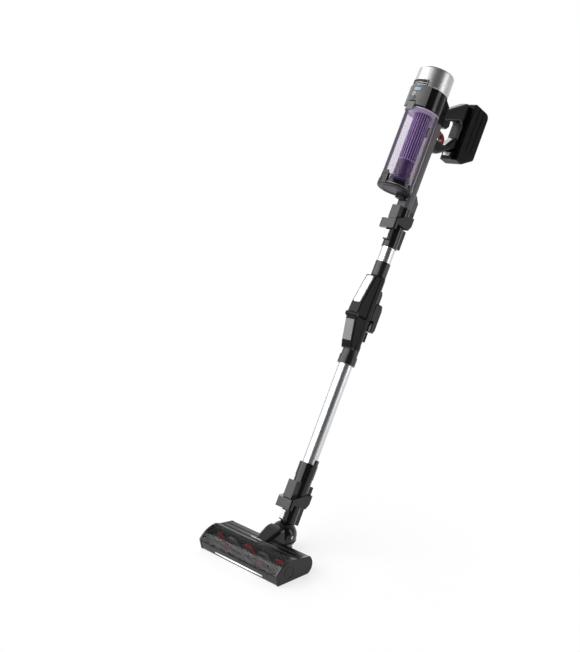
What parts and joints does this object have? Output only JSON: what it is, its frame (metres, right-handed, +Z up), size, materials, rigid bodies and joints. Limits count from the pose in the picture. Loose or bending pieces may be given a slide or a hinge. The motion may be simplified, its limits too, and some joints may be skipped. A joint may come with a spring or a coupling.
{
  "type": "cordless stick vacuum",
  "caption": "Cordless stick vacuum: powered brush head on a swivel neck, folding aluminium wand, handheld unit with clear cyclone bin, motor cap, trigger handle and slide-on battery",
  "frame": {"origin": "on the floor under the head, in the middle of the glide strip behind the brush", "axes": "+Z up, the head's nose faces -Y and the user stands at +Y, +X across the head"},
  "size_m": [0.25, 0.785, 1.0314],
  "materials": {
    "black_plastic": "glossy black plastic",
    "dark_plastic": "satin dark grey plastic",
    "tube_metal": "satin anodised tube",
    "cap_metal": "brushed cap",
    "silver_plastic": "silver lacquered plastic",
    "clear_plastic": "clear lilac plastic",
    "smoked_plastic": "smoked clear plastic",
    "purple_plastic": "satin purple plastic",
    "red_plastic": "dark red plastic",
    "bristles": "nylon bristles",
    "felt": "felt",
    "soft_rubber": "soft grey rubber",
    "steel": "turned steel",
    "motor_metal": "motor can and windings",
    "cell_wrap": "wrapped cells",
    "lamp_lens": "frosted white plastic",
    "filter_paper": "pleated filter"
  },
  "bodies": {
    "handheld": {"upper_tube": "tube_metal", "flex_upper_housing": "black_plastic", "flex_hinge_pin": "steel", "flex_rear_cover": "black_plastic", "flex_hose": "soft_rubber", "wand_plug": "black_plastic", "nozzle_socket": "black_plastic", "spine_duct": "dark_plastic", "motor_housing": "black_plastic", "suction_motor": "motor_metal", "motor_filter": "filter_paper", "display_panel": "black_plastic", "dust_bin": "clear_plastic", "bin_collar": "black_plastic", "lid_hinge_pin": "steel", "cyclone_core": "purple_plastic", "handle_left": "black_plastic", "handle_right": "black_plastic", "grip_rubber": "soft_rubber"},
    "lower_wand": {"lower_tube": "tube_metal", "lower_socket": "black_plastic", "neck_tube": "black_plastic", "flex_lower_housing": "black_plastic", "flex_lower_cover": "black_plastic"},
    "neck": {"neck_ball": "black_plastic"},
    "floor_head": {"head_base": "dark_plastic", "head_top_cover": "black_plastic", "brush_window": "smoked_plastic", "end_cap_left": "black_plastic", "end_cap_right": "black_plastic", "front_bumper": "black_plastic", "led_lens": "lamp_lens", "neck_saddle": "black_plastic", "neck_pin": "steel", "head_motor": "steel", "drive_belt": "soft_rubber", "brush_bushes": "steel", "wheel_axles": "steel", "glide_strip": "felt"},
    "brush": {"brush_core": "dark_plastic", "bristle_rows": "bristles"},
    "drive_pulley": {"motor_pulley": "steel"},
    "left_wheel": {"wheel_left": "soft_rubber"},
    "right_wheel": {"wheel_right": "soft_rubber"},
    "head_release": {"head_release_button": "silver_plastic"},
    "flex_release": {"flex_release_button": "silver_plastic"},
    "wand_release": {"wand_release_button": "silver_plastic"},
    "fan": {"impeller": "motor_metal"},
    "cap": {"motor_cap": "cap_metal"},
    "mode_key": {"mode_button": "black_plastic"},
    "catch": {"bin_catch": "black_plastic"},
    "lid": {"bin_lid": "black_plastic", "lid_seal": "soft_rubber"},
    "latch": {"bin_latch": "dark_plastic"},
    "lever": {"lid_release_lever": "red_plastic"},
    "trigger": {"power_trigger": "black_plastic"},
    "battery": {"battery_housing": "black_plastic", "battery_cells": "cell_wrap"},
    "battery_release": {"battery_button": "silver_plastic"}
  },
  "joints": [
    {"name": "flex_fold", "type": "hinge", "parent": "handheld", "child": "lower_wand", "pos_m": [0, 0.29455, 0.49504], "axis": [-1, 0, 0], "range_deg": [0, 90], "deforming": ["flex_hose"]},
    {"name": "neck_swivel", "type": "hinge", "parent": "lower_wand", "child": "neck", "pos_m": [0, 0.084, 0.035], "axis": [0, 0.4833, 0.8755], "range_deg": [-75, 75]},
    {"name": "head_pitch", "type": "hinge", "parent": "neck", "child": "floor_head", "pos_m": [0, 0.084, 0.035], "axis": [1, 0, 0], "range_deg": [-28, 45]},
    {"name": "brush_spin", "type": "hinge", "parent": "floor_head", "child": "brush", "pos_m": [0, -0.018, 0.0198], "axis": [-1, 0, 0], "continuous": true},
    {"name": "drive_spin", "type": "hinge", "parent": "floor_head", "child": "drive_pulley", "pos_m": [0, 0.024, 0.021], "axis": [-1, 0, 0], "continuous": true},
    {"name": "left_wheel_roll", "type": "hinge", "parent": "floor_head", "child": "left_wheel", "pos_m": [-0.045, 0.027, 0.008], "axis": [1, 0, 0], "continuous": true},
    {"name": "right_wheel_roll", "type": "hinge", "parent": "floor_head", "child": "right_wheel", "pos_m": [0.045, 0.027, 0.008], "axis": [1, 0, 0], "continuous": true},
    {"name": "head_release_press", "type": "slide", "parent": "lower_wand", "child": "head_release", "axis": [0, 0.8755, -0.4833], "range_m": [0, 0.0025], "stiffness_N_per_m": 600, "springref_m": -0.001},
    {"name": "flex_release_press", "type": "slide", "parent": "handheld", "child": "flex_release", "axis": [0, 0.7526, -0.6584], "range_m": [0, 0.0025], "stiffness_N_per_m": 600, "springref_m": -0.001},
    {"name": "wand_release_press", "type": "slide", "parent": "handheld", "child": "wand_release", "axis": [0, 0.8755, -0.4833], "range_m": [0, 0.0025], "stiffness_N_per_m": 600, "springref_m": -0.001},
    {"name": "fan_spin", "type": "hinge", "parent": "handheld", "child": "fan", "pos_m": [0, 0.51618, 0.92508], "axis": [0, 0.4833, 0.8755], "continuous": true},
    {"name": "cap_twist", "type": "hinge", "parent": "handheld", "child": "cap", "pos_m": [0, 0.51618, 0.92508], "axis": [0, 0.4833, 0.8755], "range_deg": [0, 30]},
    {"name": "mode_press", "type": "slide", "parent": "handheld", "child": "mode_key", "axis": [0, 0.8755, -0.4833], "range_m": [0, 0.0012], "stiffness_N_per_m": 600, "springref_m": -0.001},
    {"name": "catch_lift", "type": "slide", "parent": "handheld", "child": "catch", "axis": [0, 0.4833, 0.8755], "range_m": [0, 0.003], "stiffness_N_per_m": 300, "springref_m": -0.001},
    {"name": "lid_open", "type": "hinge", "parent": "handheld", "child": "lid", "pos_m": [0, 0.45727, 0.73703], "axis": [1, 0, 0], "range_deg": [0, 55]},
    {"name": "latch_press", "type": "hinge", "parent": "handheld", "child": "latch", "pos_m": [0, 0.39625, 0.79825], "axis": [-1, 0, 0], "range_deg": [0, 10], "stiffness_Nm_per_rad": 0.1, "springref_deg": -5.73},
    {"name": "lever_pull", "type": "hinge", "parent": "handheld", "child": "lever", "pos_m": [0, 0.5746, 0.88027], "axis": [1, 0, 0], "range_deg": [0, 12], "stiffness_Nm_per_rad": 0.2, "springref_deg": -5.73},
    {"name": "trigger_pull", "type": "hinge", "parent": "handheld", "child": "trigger", "pos_m": [0, 0.59269, 0.90683], "axis": [1, 0, 0], "range_deg": [0, 8], "stiffness_Nm_per_rad": 0.2, "springref_deg": -5.73},
    {"name": "battery_slide", "type": "slide", "parent": "handheld", "child": "battery", "axis": [0, -0.4833, -0.8755], "range_m": [0, 0.04]},
    {"name": "battery_release_press", "type": "slide", "parent": "battery", "child": "battery_release", "axis": [0, 0.8755, -0.4833], "range_m": [0, 0.002], "stiffness_N_per_m": 600, "springref_m": -0.001}
  ],
  "couplings": [
    {"joint": "drive_spin", "follows": "brush_spin", "ratio": 1.4878}
  ]
}
